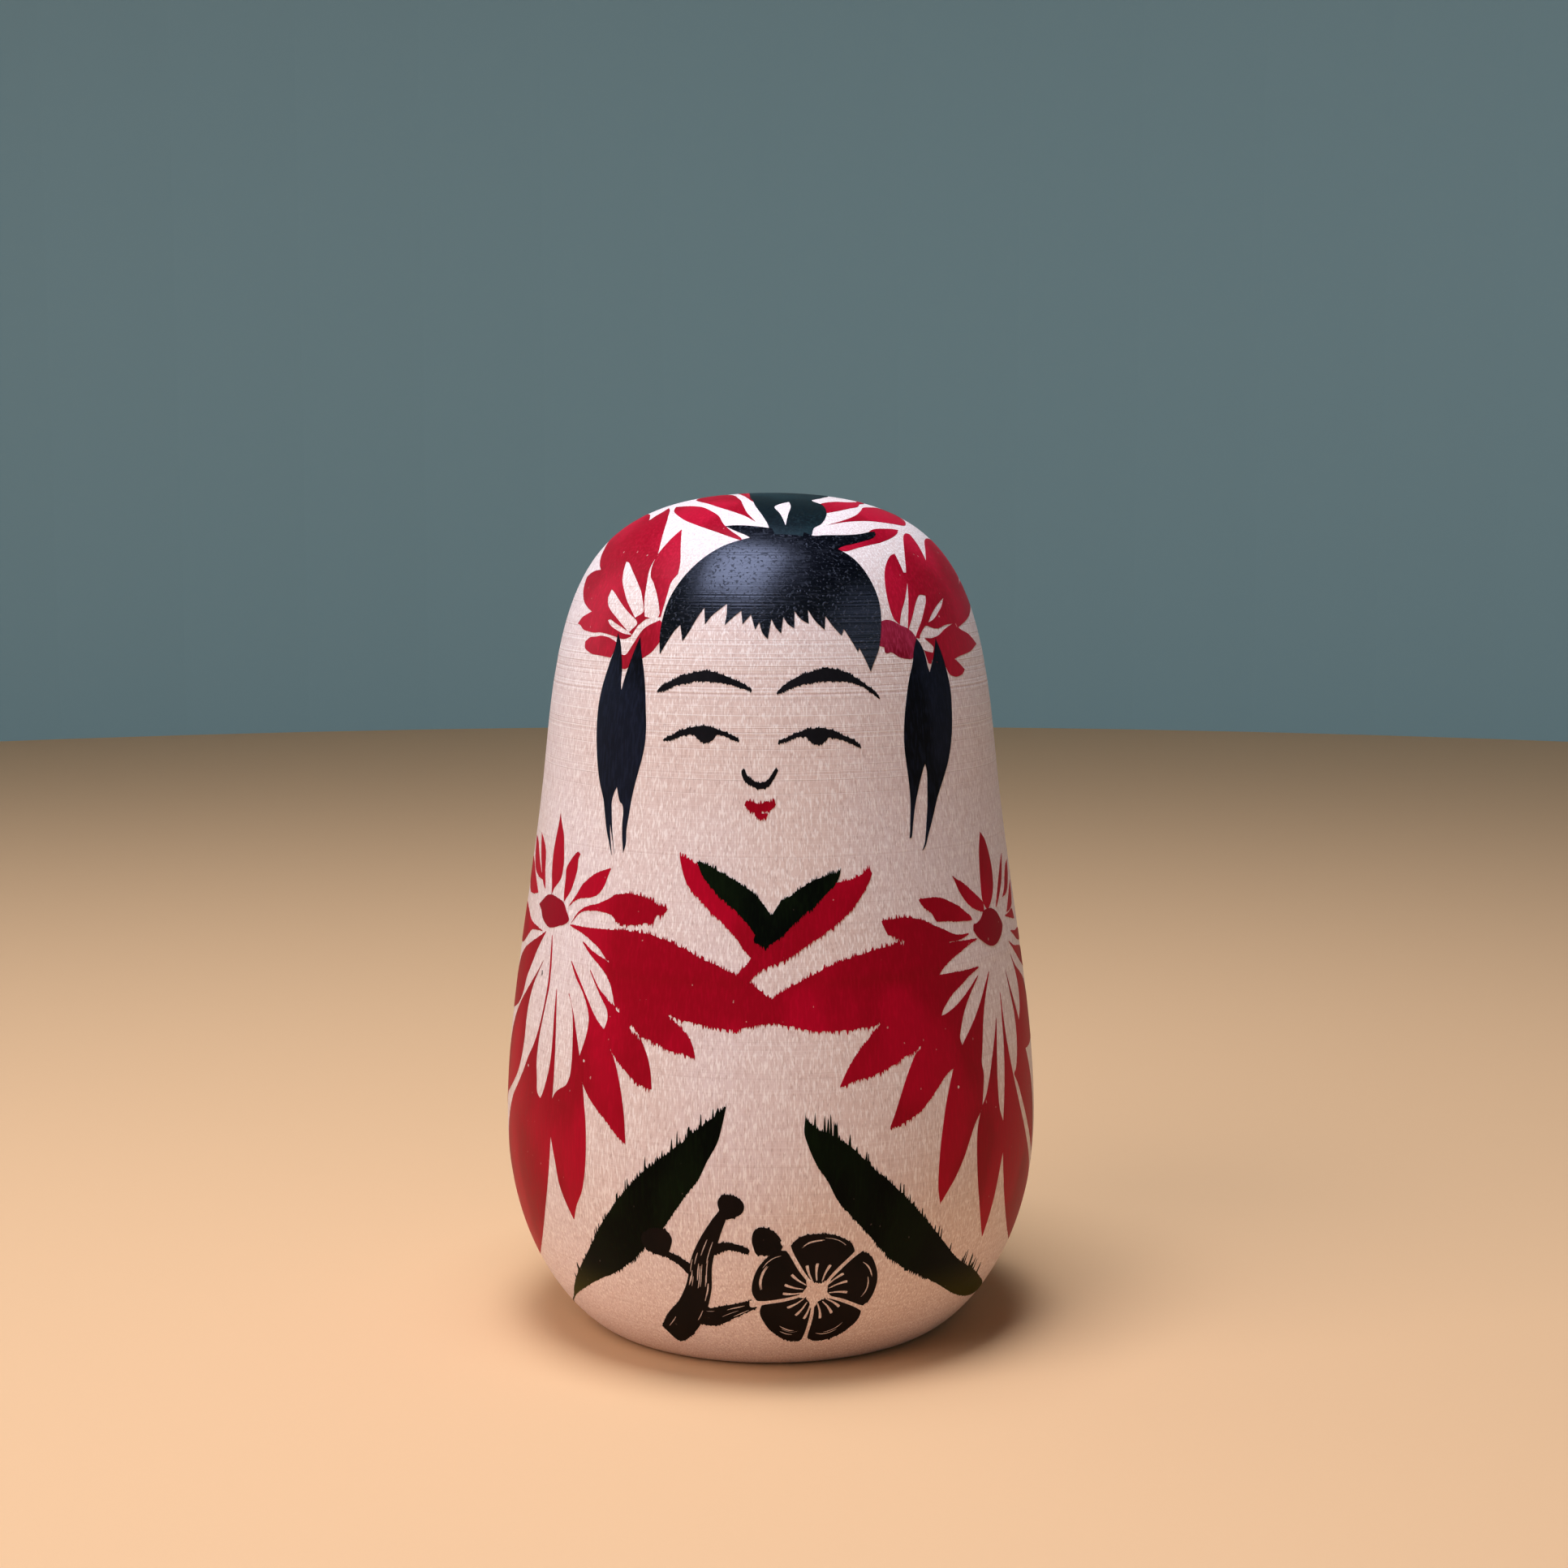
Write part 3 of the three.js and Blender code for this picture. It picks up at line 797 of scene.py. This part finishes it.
SLEEVES = [
    [(-26.5, 50.9), (-24, 50.9), (-20, 51.05), (-17, 51.15), (-14, 50.9), (-11, 50.15),
     (-8.5, 49.1), (-6, 48.1), (-3.6, 47), (-2, 46.1)],
    [(0.25, 44.4), (1.1, 45.1), (2.6, 46), (5, 47.15), (8, 48.4), (11, 49.2), (14, 49.75)],
    [(16, 50.15), (15.3, 50.6), (14.5, 51.1), (13.8, 51.4)],
    [(13.2, 52.55), (15, 52.65), (17, 52.6), (18.7, 52.2), (20.3, 51.5), (22, 50.8),
     (23.5, 50.15), (24.8, 49.95)],
    [(26.1, 49.95), (25, 49.65), (23.8, 49.5)],
    [(22.5, 49.42), (24, 49.3), (25.7, 49.2)],
    [(27.6, 49.15), (26, 48.8), (24, 48.1), (22.3, 47.4), (21, 46.6)],
    [(20.35, 45.9), (22.5, 45.92), (25, 45.9)],
    [(27.3, 45.95), (25.6, 45.4), (24, 44.6), (22.4, 43.8), (21.2, 42.8), (20.5, 42)],
    [(20.2, 41.25), (21.8, 41.8), (23.4, 42.6), (25, 43.6)],
    [(27, 45), (25.3, 43.4), (24, 41.7), (23.2, 40), (22.8, 38.6)],
    [(23.1, 37.6), (24.2, 38.8), (25.6, 40.3), (27, 42), (28.2, 43.6)],
    [(29.4, 45.1), (28.5, 43.5), (27.6, 41.5), (27, 39.5), (26.5, 37), (26.15, 35.2),
     (26.35, 34), (26.1, 32)],
    [(25.75, 30.1), (26.6, 31.2), (27.3, 32.7), (28.3, 35.3), (29.2, 37.6)],
    [(29.9, 39.6), (29.5, 37), (29.15, 34.5), (29, 31.5), (29.2, 29.2)],
    [(29.95, 27.4), (30.3, 29.6), (30.75, 32.5), (31.15, 36), (31.35, 39.5)],
    [(31.5, 42.3), (31.65, 39), (31.95, 36.5), (32.5, 34), (33.3, 31.4), (34.3, 28.9),
     (35.6, 26.3), (37.2, 23.6), (39.3, 20.8), (42, 17.5)],
    [(46, 12), (43, 10), (40, 10.5), (37, 11.9), (34.5, 13.7), (32.4, 16.2), (31, 18.9),
     (30.2, 21.8)],
    [(29.9, 24.3), (29.4, 22.8), (28.9, 20.6), (28.5, 18.6), (28.05, 16.4)],
    [(27.6, 14.3), (26.8, 16), (26, 18.2), (25.3, 20.8), (24.9, 23.4), (24.8, 26), (25, 28)],
    [(25.65, 29.9), (24.5, 28.6), (23.6, 27), (22.6, 25), (21.4, 23), (20.3, 21.5)],
    [(19.4, 20.3), (19.05, 22), (19.05, 24.5), (19.3, 27), (19.7, 29.3), (20.2, 31.5),
     (20.9, 33.7)],
    [(21.6, 35.5), (20.4, 34.9), (19.3, 33.8), (18, 32.5), (16.4, 31.2), (14.6, 30.4)],
    [(13, 29.9), (13.6, 31.3), (14.3, 33.1), (15.2, 35.3), (16.2, 37.2)],
    [(17.2, 38.5), (15, 37.6), (13, 36.7), (11, 36), (9, 35.5)],
    [(7.5, 34.9), (8.4, 36.7), (9.6, 38.4), (11, 40)],
    [(12.3, 41.5), (10.5, 41.3), (8, 41.15), (5.5, 41.2), (3.2, 41.6), (1.5, 42)],
    [(0.25, 42.1), (-1.5, 41.9), (-3, 41.6), (-5, 41.45), (-7, 41.8), (-9, 42.1), (-10.3, 42.3)],
    [(-11.2, 42.5), (-10.3, 41.6), (-9.2, 40.6), (-8.4, 39.5)],
    [(-8, 38.1), (-9.4, 38.5), (-11.2, 38.9), (-13, 39.6), (-14.5, 40)],
    [(-15.9, 40.8), (-14.8, 39.9), (-13.7, 38.2), (-13.1, 36.4)],
    [(-12.8, 34.2), (-14, 34.6), (-15.5, 35.5), (-17, 36.8)],
    [(-18.3, 38.1), (-17.5, 36.5), (-16.7, 34), (-16.1, 31)],
    [(-15.8, 27.8), (-16.8, 28.5), (-18.2, 29.9), (-19.8, 31.2), (-21, 32.4)],
    [(-22, 33.8), (-21.6, 31.5), (-21.25, 29), (-21.15, 26), (-21.4, 23.2), (-22, 21),
     (-23, 19.2)],
    [(-23.7, 17.4), (-24.7, 19.2), (-25.6, 21.2), (-26.1, 23.5), (-26.6, 25.3)],
    [(-27.05, 26.8), (-27.25, 24.5), (-27.8, 21.5), (-28.7, 18.8), (-30.2, 15.8),
     (-32.2, 13.2), (-34.5, 11.2), (-37.5, 9.5), (-41, 8.4)],
    [(-46, 9), (-44.5, 14.5), (-42.5, 20.5), (-40.3, 25.5), (-38, 28.7), (-36, 30.6),
     (-34.3, 32.6), (-33, 34.6), (-31.9, 36.1), (-31, 38), (-30.3, 40.6), (-29.85, 43.5),
     (-29.9, 46)],
    [(-30.2, 49.2), (-29.8, 47.5), (-29.6, 45.5), (-29.55, 43.5), (-30, 41), (-30.5, 38.5),
     (-30.8, 36.5), (-30.85, 34.5), (-30.5, 32.5), (-30.2, 30.9)],
    [(-29.4, 30.3), (-28.8, 31.3), (-28.2, 32.9), (-27.7, 35), (-27.6, 37.5), (-27.75, 40.8)],
    [(-27.8, 43.3), (-27.5, 41), (-27.2, 38.5), (-27, 36), (-26.9, 33)],
    [(-27, 30.7), (-26.3, 31.7), (-25.5, 32.3), (-24.6, 32.8), (-24, 33.9), (-23.8, 35.5),
     (-23.9, 38), (-24.15, 40.2), (-24.6, 42)],
    [(-25.4, 43.3), (-24.3, 41.2), (-23.5, 39)],
    [(-22.65, 36.4), (-22.3, 37.4), (-21.8, 39), (-21.6, 40.8), (-22, 42.2), (-23, 43.8),
     (-24.5, 45.4)],
    [(-25.5, 46.9), (-23.8, 45), (-22.3, 43.2), (-20.8, 41.3)],
    [(-19.35, 39.9), (-19.1, 40.4), (-18.85, 41.4), (-19.1, 42.4), (-20.2, 43.8),
     (-21.3, 45.2)],
    [(-22.1, 46.3), (-20.5, 44.4), (-19, 43.2)],
    [(-17.3, 42.2), (-18, 42.9), (-18.4, 44), (-19, 45.4), (-20.3, 46.8), (-22, 47.9)],
    [(-23.8, 49.3), (-22, 48.4), (-20.6, 47.9)],
    [(-19.3, 47.5), (-19.9, 48), (-20.8, 48.8), (-22, 49.5), (-24, 50.3)],
]
FLOWER_CENTRE_LEFT = [
    [(-35.2, 52.1), (-34, 52.8), (-33, 53.4), (-31.5, 53.7), (-29.8, 53.5), (-28.5, 53.2),
     (-27.7, 52.4), (-26.9, 51.4), (-27.7, 50.8), (-28.8, 50.5), (-30, 50.15), (-31.2, 50),
     (-32.5, 50.3), (-33.6, 50.9), (-34.2, 51.6)],
]
FLOWER_CENTRE_RIGHT = [
    [(27.1, 50.2), (27.3, 50.8), (28, 50.9), (29, 51.3), (29.8, 52), (31.5, 52.15),
     (33, 51.6), (34, 50.7), (34.6, 49.8), (34.2, 49.1), (33.2, 48.4), (31.8, 47.9),
     (30.3, 48), (29, 48.6), (27.9, 49.3)],
]
SIDE_PETALS_LEFT = [
    [[(-31.7, 46), (-33.4, 44.1), (-36, 41.7), (-38.2, 39.8), (-40.5, 37.5), (-43, 34),
      (-44.5, 30)],
     [(-45, 26), (-42.5, 28), (-40, 29.3), (-38, 30.6), (-36.3, 32.2), (-35.3, 34.2),
      (-34.85, 36.5), (-34.85, 39), (-34.5, 41), (-33.6, 43.2)]],
    [[(-31.9, 49.4), (-34, 48.4), (-36.7, 47.3), (-39.3, 46.2), (-42, 44.5), (-45, 41)],
     [(-47.5, 37), (-44, 38.3), (-41, 39), (-38.7, 40), (-37.2, 41.6), (-36.6, 43.2),
      (-35.3, 45), (-33.7, 47.2)]],
    [[(-33, 49.3), (-35.5, 49.55), (-38, 49.9), (-40.5, 50.8), (-44, 51)],
     [(-48, 48.5), (-44, 46.5), (-41, 46.8), (-39, 47.7), (-37, 48.8), (-35.4, 49.1)]],
    [[(-31.7, 53.7), (-31.9, 54.8), (-32.3, 56), (-32.6, 58), (-32.4, 60), (-31.95, 62)],
     [(-31.8, 63.1), (-31.2, 62.1), (-30.3, 60.8), (-29.8, 59.2), (-29.45, 57.4),
      (-29.7, 55.9), (-30.6, 55), (-31.2, 54.5)]],
    [[(-28.4, 53.3), (-28.6, 54.4), (-28.6, 56), (-28.7, 57), (-28, 58), (-27, 58.9),
      (-26.5, 59.2)],
     [(-26, 59), (-26.3, 58.4), (-26.3, 57.2), (-26.7, 55.8), (-27.2, 54.7)]],
    [[(-27.2, 53), (-26, 54.3), (-25, 55.6), (-24.2, 56.2), (-23, 57), (-21.5, 57.6)],
     [(-20.3, 57.9), (-20.7, 57), (-21.1, 56), (-21.9, 55), (-23.2, 54.4), (-24.5, 54.2),
      (-25.7, 53.9)]],
    [[(-26.4, 51.1), (-25.3, 52.4), (-24, 53.2), (-22, 53.8), (-20.3, 54.5), (-19, 55.1),
      (-17.2, 55.3), (-15.5, 55.1), (-14, 54.7), (-12.9, 54.2)],
     [(-12, 54), (-12.6, 53.5)],
     [(-13.5, 53.3), (-13.7, 52.5), (-15, 52.3), (-17, 52), (-18.6, 52.1), (-19.6, 52.8),
      (-21, 53), (-22.5, 53), (-24, 52.8), (-25, 52.4)]],
    [[(-33.8, 54.1), (-34.6, 56), (-35.3, 58.2), (-36.4, 59.2)],
     [(-38.4, 60.1), (-37.6, 58.4), (-36.5, 56.7), (-35.4, 55.3), (-34.4, 54.4)]],
    [[(-34.9, 55), (-36.5, 56.1), (-38.3, 57.6), (-40, 58.9)],
     [(-42.5, 59.3), (-41.2, 57.3), (-39.5, 55.9), (-37.2, 55.2)]],
    [[(-36.3, 53.3), (-38, 54.5), (-40.5, 56), (-43, 56.6)],
     [(-46, 56), (-44, 54.2), (-41.5, 53), (-38.7, 52.9)]],
]
SIDE_PETALS_RIGHT = [
    [[(33.75, 44.6), (34.8, 42), (35.8, 39.8)],
     [(36.5, 38.1), (37.5, 39.6), (37.9, 41.2), (37.7, 43), (36.9, 44.8)],
     [(36.1, 46.1), (37.6, 44.5), (39.5, 43.4), (42, 42), (44.5, 39.5)],
     [(47, 35), (44, 34.6), (41, 34.4)],
     [(38.3, 34.4), (39.6, 32), (40.6, 29.5), (41.1, 26.8), (41.1, 24)],
     [(40.9, 21.3), (39, 23.6), (37.3, 26), (35.7, 28.6), (34.4, 30.9)],
     [(33.3, 32.4), (34, 33), (34.75, 34.8), (35.1, 37), (35, 39.5), (34.4, 41.8)]],
    [[(36.1, 47.6), (38, 46.8), (40.5, 46.3), (44, 45.5)],
     [(48, 42.5), (44.5, 43.2), (41.5, 44.2), (39, 45.6), (37.4, 46.7)]],
    [[(37.6, 48.6), (40, 48.2), (43, 48)],
     [(47, 46.8), (43.5, 46.6), (40.5, 47.2), (38.8, 48)]],
    [[(30.8, 52), (29.9, 53.2), (29.9, 55), (30.2, 57.5), (30.6, 59.3)],
     [(31.3, 61), (32.4, 60), (33.1, 58.5), (33.5, 56.7), (33.3, 54.7), (32.7, 53.6),
      (31.8, 52.7)]],
    [[(24.2, 56.7), (25, 56.2), (25.7, 55.9), (26.7, 55.3), (28, 54.4), (29.2, 53.6)],
     [(30, 53), (29.9, 52), (29.3, 52.1), (28, 52.5), (27, 53), (25.8, 54.1), (25, 55.2),
      (24.6, 56)]],
    [[(18.4, 54.6), (19.6, 54.65), (20.8, 54.6), (22.1, 54.4), (23.5, 53.8), (24.8, 53.2),
      (26, 52.4), (26.9, 51.8)],
     [(27.1, 51.4), (26.5, 51.4), (25.3, 51.5), (24, 51.6), (22.5, 51.8), (21.2, 51.9),
      (20.8, 52), (20.1, 53), (19, 53.8)]],
    [[(33.2, 52), (34.2, 53.5), (35.5, 55.2), (37, 56.8)],
     [(38.3, 57.7), (36.8, 55.2), (35.5, 53.8), (33.6, 52.2)]],
    [[(36, 52.8), (37.3, 53.7), (38.3, 55), (39.5, 56)],
     [(41.5, 56.5), (41, 55.5), (39.6, 54), (38, 53.1)]],
    [[(36.9, 50.9), (38.3, 52), (40, 53.2)], [(42, 54), (40.5, 51.5), (38.5, 51)]],
    [[(36, 50.6), (38, 50.7), (40, 50.8)], [(41, 49.5), (38.5, 50)]],
]
HEM_LEAF_LEFT = [
    [(-4.5, 32.8), (-6, 31.4), (-7.6, 30), (-9.2, 28.5), (-11, 26.9), (-13, 25.2), (-15, 23.2),
     (-17, 20.8), (-19, 18.2), (-21, 15.4), (-23.5, 12.4), (-26, 9.9), (-28.5, 7.6),
     (-31, 5.6)],
    [(-35.5, 3.5), (-32, 5), (-29, 6.5), (-26, 8), (-22.3, 10), (-18.5, 12), (-15.8, 14),
     (-13.5, 16.4), (-11.5, 18.6), (-10, 20.8), (-8.7, 22.8), (-7.3, 24.8), (-6.4, 26.8),
     (-5.4, 28.8), (-5, 30.3)],
]
HEM_LEAF_RIGHT = [
    [(3.7, 31.5), (5, 30.2), (7, 29.2), (9, 27.6), (11, 25.4), (13, 23.5), (15, 21.4),
     (17, 19.2), (19, 17), (21, 14.9), (23, 13), (25, 11.6), (28, 10), (31.5, 8), (35.5, 6)],
    [(38.5, 4.6), (34.5, 5), (31.5, 5.5), (28, 6.5), (24.5, 8), (21, 10), (17.5, 12),
     (14.3, 14), (12, 16.3), (10, 18.7), (8.5, 20.5), (7, 22.4), (6, 24.5), (4.8, 26.5),
     (4, 28.5), (3.6, 30)],
]


PINPRICKS = [brush([(x, y), (x + 0.1, y + 0.15), (x, y + 0.3)], [0.2, 0.3, 0.15])
             for x, y in ((-22, 36), (22, 33), (-33, 33.4))]
GREY_SPECK = brush([(-31.7, 44.3), (-31.6, 44.6), (-31.7, 44.9)], [0.2, 0.35, 0.2])


def kimono():
    paint("collar_red", [COLLAR_RED], RED, coats=2, teeth=0.3)
    paint("collar_green", [COLLAR_GREEN], GREEN, coats=3, teeth=0.25)
    paint("sleeves", [SLEEVES], RED, gaps=PINPRICKS, teeth=0.28, swell=0.05)
    paint("side_petals_left", SIDE_PETALS_LEFT, RED, teeth=0.3)
    paint("side_petals_right", SIDE_PETALS_RIGHT, RED, teeth=0.3)
    paint("grey_speck", [GREY_SPECK], SPECK_GREY)
    paint("flower_centre_left", [FLOWER_CENTRE_LEFT], DEEP_RED, coats=2, teeth=0.15)
    paint("flower_centre_right", [FLOWER_CENTRE_RIGHT], DEEP_RED, coats=2, teeth=0.15)
    paint("hem_leaf_left", [HEM_LEAF_LEFT], GREEN, teeth=0.36, hairs=2.4)
    paint("hem_leaf_right", [HEM_LEAF_RIGHT], GREEN, teeth=0.36, hairs=2.0)


# ---- the painting: brushed plum branch
BLOSSOM = (5.2, 11.1)
PETAL_TURNS = [84 + 72 * k for k in range(5)]
STREAK_TIP = 0.04


def about(middle, angle, points):
    """Points measured outward and across from a middle, turned to an angle in degrees."""
    c, s = math.cos(math.radians(angle)), math.sin(math.radians(angle))
    return [(middle[0] + a * c - h * s, middle[1] + a * s + h * c) for a, h in points]


def plump_petal(middle, angle, reach, width):
    """One dab of a full brush: narrow at its root, round at its end, a little lopsided."""
    return [about(middle, angle, [
        (0.2 * reach, 0.06 * width), (0.42 * reach, 0.36 * width), (0.68 * reach, 0.5 * width),
        (0.9 * reach, 0.4 * width), (reach, 0.1 * width), (0.98 * reach, -0.16 * width),
        (0.84 * reach, -0.42 * width), (0.6 * reach, -0.48 * width), (0.36 * reach, -0.3 * width)]),
        about(middle, angle, [(0.18 * reach, -0.04 * width)])]


def dry_streaks(points, widths, count, seed):
    """Long slivers that the brush left bare along a stroke."""
    chance = random.Random(seed)
    line = np.array(smooth(points, 0.25))
    wide = np.interp(np.linspace(0, 1, len(line)), np.linspace(0, 1, len(widths)), widths)
    across = np.gradient(line, axis=0) @ np.array([[0, 1], [-1, 0]])
    across /= np.linalg.norm(across, axis=1)[:, None]
    slivers = []
    for _ in range(count):
        start = chance.randint(1, len(line) - 12)
        end = min(len(line) - 2, start + chance.randint(7, 16))
        aside = line + across * (wide * chance.uniform(-0.42, 0.42))[:, None]
        sliver = aside[start:end:3]
        width = chance.uniform(0.08, 0.17)
        slivers.append(brush(sliver, [STREAK_TIP, *[width] * (len(sliver) - 2), STREAK_TIP]))
    return slivers


BRANCH = [(-13.4, 4.4), (-11.2, 6.3), (-9.3, 8.6), (-8, 11.6), (-7.4, 14.8), (-6.2, 18),
          (-4.4, 21.4)]
BRANCH_WIDTHS = [2.6, 3.7, 3.4, 2.9, 2.4, 1.8, 0.6]
SIDE_TWIG = [(-9.6, 8.2), (-7, 7.6), (-4.4, 8.6), (-1.6, 9.6)]
SIDE_TWIG_WIDTHS = [2.0, 2.4, 1.7, 0.8]
BUD_TWIG = [(-8, 12.8), (-9.8, 14.6), (-11.6, 15.6)]
BUD_TWIG_WIDTHS = [1.2, 0.9, 0.5]
HIGH_TWIG = [(-7, 16.2), (-4.4, 16.9), (-2.2, 16.3)]
HIGH_TWIG_WIDTHS = [1.1, 0.8, 0.5]


def plum_branch():
    petals = [plump_petal(BLOSSOM, turn, 7.2, 7.4) for turn in PETAL_TURNS]
    buds = [plump_petal((-1.9, 15.6), 50, 3.9, 3.7), plump_petal((-11.2, 14.4), 115, 4.2, 3.8),
            plump_petal((-4.7, 19.6), 72, 3.4, 2.9)]
    twigs = [brush(BRANCH, BRANCH_WIDTHS), brush(SIDE_TWIG, SIDE_TWIG_WIDTHS),
             brush(BUD_TWIG, BUD_TWIG_WIDTHS), brush(HIGH_TWIG, HIGH_TWIG_WIDTHS)]
    parting = [(1.2, 0), (3.4, 0.1), (5.8, 0), (7.6, -0.2)]
    stamen = [(1.5, 0), (2.6, 0.1), (3.7, 0)]
    round_tip = [(4.6, 2.9), (5.9, 1.8), (6.4, 0), (6, -1.7), (4.9, -2.8)]
    partings = [brush(about(BLOSSOM, turn - 36, parting), [0.2, 0.45, 0.5, 0.9])
                for turn in PETAL_TURNS]
    stamens = [brush(about(BLOSSOM, turn + lean, stamen), [0.1, 0.24, 0.3])
               for turn in PETAL_TURNS for lean in (-17, 6, 24)]
    rubbed = dry_streaks(BRANCH, BRANCH_WIDTHS, 16, 4)
    rubbed += dry_streaks(SIDE_TWIG, SIDE_TWIG_WIDTHS, 4, 5)
    for k, turn in enumerate(PETAL_TURNS):
        rubbed += dry_streaks(about(BLOSSOM, turn, round_tip), [1.0] * 5, 3, 20 + k)
    paint("plum_branch", [*petals, *buds, *twigs], SUMI, coats=2, teeth=0.12,
          gaps=[*partings, *stamens, *rubbed])


# ---- all of it
body_skin()
hair_flowers()
hair()
face()
kimono()
plum_branch()
for node, finish in (("foot_plug", bare_plug()), ("ballast_disc", rough_iron())):
    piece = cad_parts[node]
    piece.data.materials.clear()
    piece.data.materials.append(finish)


# ---- floor, backdrop and light
ROOM_RADIUS = 0.8
ROOM_HEIGHT = 1.0
ROOM_SIDES = 96


def studio(floor_colour, wall_colour):
    """A plain round floor and a plain wall all round it."""
    turns = np.arange(ROOM_SIDES) * math.tau / ROOM_SIDES
    rim = [(ROOM_RADIUS * math.cos(t), ROOM_RADIUS * math.sin(t)) for t in turns]
    walls = [(i, (i + 1) % ROOM_SIDES, (i + 1) % ROOM_SIDES + ROOM_SIDES, i + ROOM_SIDES)
             for i in range(ROOM_SIDES)]
    for name, heights, faces, colour in (
            ("floor", [0], [tuple(range(ROOM_SIDES))], floor_colour),
            ("wall", [0, ROOM_HEIGHT], walls, wall_colour)):
        mesh = bpy.data.meshes.new(name)
        mesh.from_pydata([(x, y, z) for z in heights for x, y in rim], [], faces)
        paper = Finish(name + "_paper")
        fibres = paper.grain(1.5, 1.5, 2.0)
        mesh.materials.append(paper.done(Base_Color=colour, Roughness=0.8 + fibres * 0.1))
        part = bpy.data.objects.new(name, mesh)
        bpy.context.scene.collection.objects.link(part)


def lamp(name, place, towards, size, watts, colour, spread=True, gloss=True):
    """A soft studio light. Without spread it is only mirrored, and without gloss it never is."""
    light = bpy.data.lights.new(name, "AREA")
    light.shape = "RECTANGLE"
    light.size, light.size_y = size
    light.energy = watts
    light.color = colour
    holder = bpy.data.objects.new(name, light)
    holder.location = place
    holder.rotation_euler = (Vector(towards) - Vector(place)).to_track_quat("-Z", "Y").to_euler()
    holder.visible_diffuse = spread
    holder.visible_glossy = gloss
    bpy.context.scene.collection.objects.link(holder)


BELLY = (0, 0, 0.05)
CROWN = (0, 0, 0.09)

studio(tone(224, 174, 130), tone(138, 164, 168))
lamp("window", (-0.34, -0.3, 0.4), BELLY, (0.4, 0.4), 1.75, (0.96, 0.97, 0.98), gloss=False)
lamp("far_window", (-0.6, 0.2, 0.3), BELLY, (0.4, 0.4), 0.45, (0.75, 0.92, 1))
lamp("ceiling_lamp", (-0.04, -0.06, 0.6), BELLY, (0.25, 0.25), 4.4, (0.73, 0.85, 1), gloss=False)
lamp("skylight", (-0.11, -0.2, 0.54), CROWN, (0.27, 0.34), 2.5, (0.57, 0.65, 1), spread=False)
world = bpy.context.scene.world or bpy.data.worlds.new("studio")
bpy.context.scene.world = world
world.use_nodes = True
sky = world.node_tree.nodes["Background"].inputs
sky["Color"].default_value = (0.55, 0.6, 0.64, 1)
sky["Strength"].default_value = 0.02
